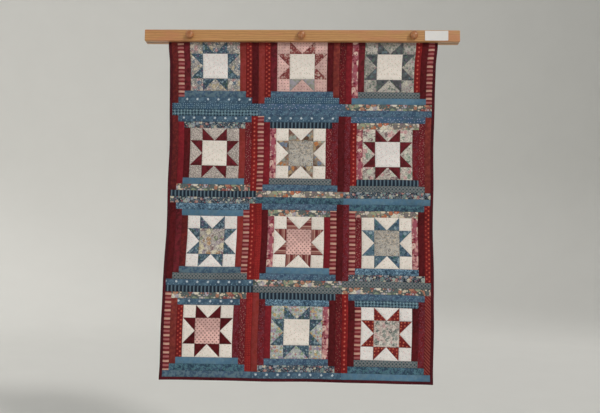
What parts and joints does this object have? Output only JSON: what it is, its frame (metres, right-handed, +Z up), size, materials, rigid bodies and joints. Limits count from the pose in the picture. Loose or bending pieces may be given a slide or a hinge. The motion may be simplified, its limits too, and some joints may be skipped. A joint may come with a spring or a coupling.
{
  "type": "quilt on a wall rack",
  "caption": "Patchwork quilt of log-framed sawtooth stars, its top edge folded and held between two wooden boards that knobs and bolts draw together and keyhole plates hang on a wall.",
  "frame": {"origin": "on the wall plane behind the rack, midway along it, at the height where the two wall screws bear in the keyhole plates", "axes": "+Z up, +Y into the wall, +X to the right as someone facing the quilt sees it"},
  "size_m": [1.2192, 0.0655, 1.3299],
  "materials": {
    "light_wood": "clear satin varnish, straight horizontal grain",
    "knob_wood": "turned and varnished, redder than the boards",
    "zinc_steel": "bright zinc plate",
    "brass": "turned",
    "grey_felt": "wool felt",
    "card": "blank matt card",
    "binding_cotton": "plain dark burgundy cotton, folded and sewn down",
    "backing_cotton": "cream cotton with the quilting lines showing",
    "batting_cotton": "needled cotton wadding",
    "pieced_cotton": "pieced printed cottons: reds at the sides, blues above and below, stars on pale grounds",
    "log_cotton": "blue printed cotton strips"
  },
  "bodies": {
    "root": {"back_rail": "light_wood", "top_spacer": "light_wood", "back_felt": "grey_felt", "clamp_bolt_left": "zinc_steel", "clamp_bolt_middle": "zinc_steel", "clamp_bolt_right": "zinc_steel", "hanger_plate_left": "zinc_steel", "hanger_plate_right": "zinc_steel", "plate_screw_left_inner": "zinc_steel", "plate_screw_left_outer": "zinc_steel", "plate_screw_right_inner": "zinc_steel", "plate_screw_right_outer": "zinc_steel", "folded_heading": "log_cotton", "turned_back_flap": "log_cotton", "binding_top": "binding_cotton"},
    "front_board": {"front_rail": "light_wood", "front_felt": "grey_felt", "label_card": "card"},
    "knob_left": {"knob_left": "knob_wood", "knob_insert_left": "brass"},
    "knob_middle": {"knob_middle": "knob_wood", "knob_insert_middle": "brass"},
    "knob_right": {"knob_right": "knob_wood", "knob_insert_right": "brass"},
    "quilt_drop": {"backing": "backing_cotton", "batting": "batting_cotton", "block_r1c1": "pieced_cotton", "block_r1c2": "pieced_cotton", "block_r1c3": "pieced_cotton", "block_r2c1": "pieced_cotton", "block_r2c2": "pieced_cotton", "block_r2c3": "pieced_cotton", "block_r3c1": "pieced_cotton", "block_r3c2": "pieced_cotton", "block_r3c3": "pieced_cotton", "block_r4c1": "pieced_cotton", "block_r4c2": "pieced_cotton", "block_r4c3": "pieced_cotton", "binding_left": "binding_cotton", "binding_right": "binding_cotton", "binding_bottom": "binding_cotton"}
  },
  "joints": [
    {"name": "clamp_slide", "type": "slide", "parent": "root", "child": "front_board", "axis": [0, -1, 0], "range_m": [0, 0.00508]},
    {"name": "knob_turn_left", "type": "hinge", "parent": "front_board", "child": "knob_left", "pos_m": [-0.4318, -0.0452, -0.01195], "axis": [0, -1, 0], "range_deg": [0, 1441]},
    {"name": "knob_turn_middle", "type": "hinge", "parent": "front_board", "child": "knob_middle", "pos_m": [0, -0.0452, -0.01195], "axis": [0, -1, 0], "range_deg": [0, 1441]},
    {"name": "knob_turn_right", "type": "hinge", "parent": "front_board", "child": "knob_right", "pos_m": [0.4318, -0.0452, -0.01195], "axis": [0, -1, 0], "range_deg": [0, 1441]},
    {"name": "quilt_swing", "type": "hinge", "parent": "root", "child": "quilt_drop", "pos_m": [0, -0.02505, -0.0392], "axis": [-1, 0, 0], "range_deg": [0, 60]}
  ],
  "couplings": [
    {"joint": "knob_turn_left", "follows": "clamp_slide", "rad_per_m": 4947.4},
    {"joint": "knob_turn_middle", "follows": "clamp_slide", "rad_per_m": 4947.4},
    {"joint": "knob_turn_right", "follows": "clamp_slide", "rad_per_m": 4947.4}
  ]
}
